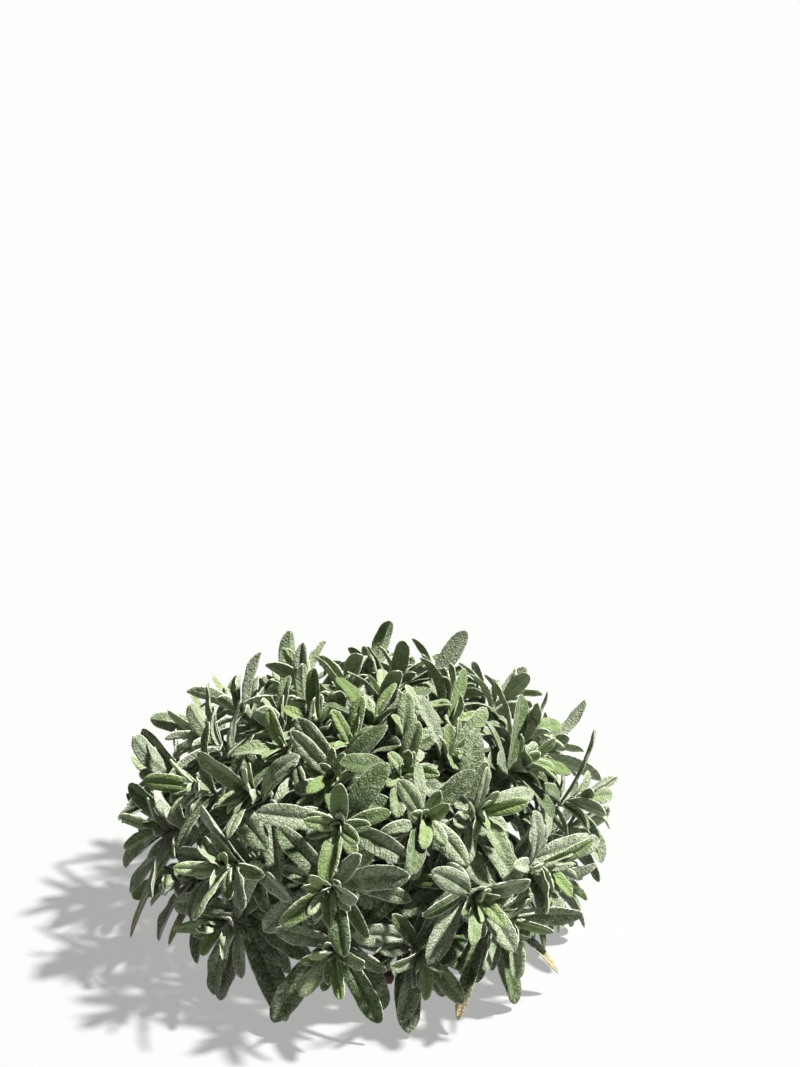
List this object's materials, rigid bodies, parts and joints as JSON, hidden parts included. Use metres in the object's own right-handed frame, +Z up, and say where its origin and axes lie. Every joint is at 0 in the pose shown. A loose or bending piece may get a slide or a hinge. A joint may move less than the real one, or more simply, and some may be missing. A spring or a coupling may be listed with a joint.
{
  "type": "lambs ear plant",
  "caption": "A dense mound of woolly silver-green leafy stems on a low crown of creeping stems, cut at soil level and standing free.",
  "frame": {"origin": "the centre of the crown on its flat underside, at soil level", "axes": "+Z up, out of the soil; -Y towards the side the picture shows; +X to the right of that side"},
  "size_m": [0.4486, 0.4517, 0.2457],
  "materials": {
    "woolly_leaf": "felted, matt, with a dense coat of pale hairs",
    "crown_bark": "dry, rough, matt"
  },
  "bodies": {
    "root": {"crown": "crown_bark", "leafy_stem_00": "woolly_leaf", "leafy_stem_01": "woolly_leaf", "leafy_stem_02": "woolly_leaf", "leafy_stem_03": "woolly_leaf", "leafy_stem_04": "woolly_leaf", "leafy_stem_05": "woolly_leaf", "leafy_stem_06": "woolly_leaf", "leafy_stem_07": "woolly_leaf", "leafy_stem_08": "woolly_leaf", "leafy_stem_09": "woolly_leaf", "leafy_stem_10": "woolly_leaf", "leafy_stem_11": "woolly_leaf", "leafy_stem_12": "woolly_leaf", "leafy_stem_13": "woolly_leaf", "leafy_stem_14": "woolly_leaf", "leafy_stem_15": "woolly_leaf", "leafy_stem_16": "woolly_leaf", "leafy_stem_17": "woolly_leaf", "leafy_stem_18": "woolly_leaf", "leafy_stem_19": "woolly_leaf", "leafy_stem_20": "woolly_leaf", "leafy_stem_21": "woolly_leaf", "leafy_stem_22": "woolly_leaf", "leafy_stem_23": "woolly_leaf", "leafy_stem_24": "woolly_leaf", "leafy_stem_25": "woolly_leaf", "leafy_stem_26": "woolly_leaf", "leafy_stem_27": "woolly_leaf", "leafy_stem_28": "woolly_leaf", "leafy_stem_29": "woolly_leaf", "leafy_stem_30": "woolly_leaf", "leafy_stem_31": "woolly_leaf", "leafy_stem_32": "woolly_leaf", "leafy_stem_33": "woolly_leaf", "leafy_stem_34": "woolly_leaf", "leafy_stem_35": "woolly_leaf", "leafy_stem_36": "woolly_leaf", "leafy_stem_37": "woolly_leaf", "leafy_stem_38": "woolly_leaf", "leafy_stem_39": "woolly_leaf", "leafy_stem_40": "woolly_leaf", "leafy_stem_41": "woolly_leaf", "leafy_stem_42": "woolly_leaf", "leafy_stem_43": "woolly_leaf", "leafy_stem_44": "woolly_leaf", "leafy_stem_45": "woolly_leaf", "leafy_stem_46": "woolly_leaf", "leafy_stem_47": "woolly_leaf", "leafy_stem_48": "woolly_leaf", "leafy_stem_49": "woolly_leaf", "leafy_stem_50": "woolly_leaf", "leafy_stem_51": "woolly_leaf", "leafy_stem_52": "woolly_leaf", "leafy_stem_53": "woolly_leaf", "leafy_stem_54": "woolly_leaf"}
  },
  "joints": []
}
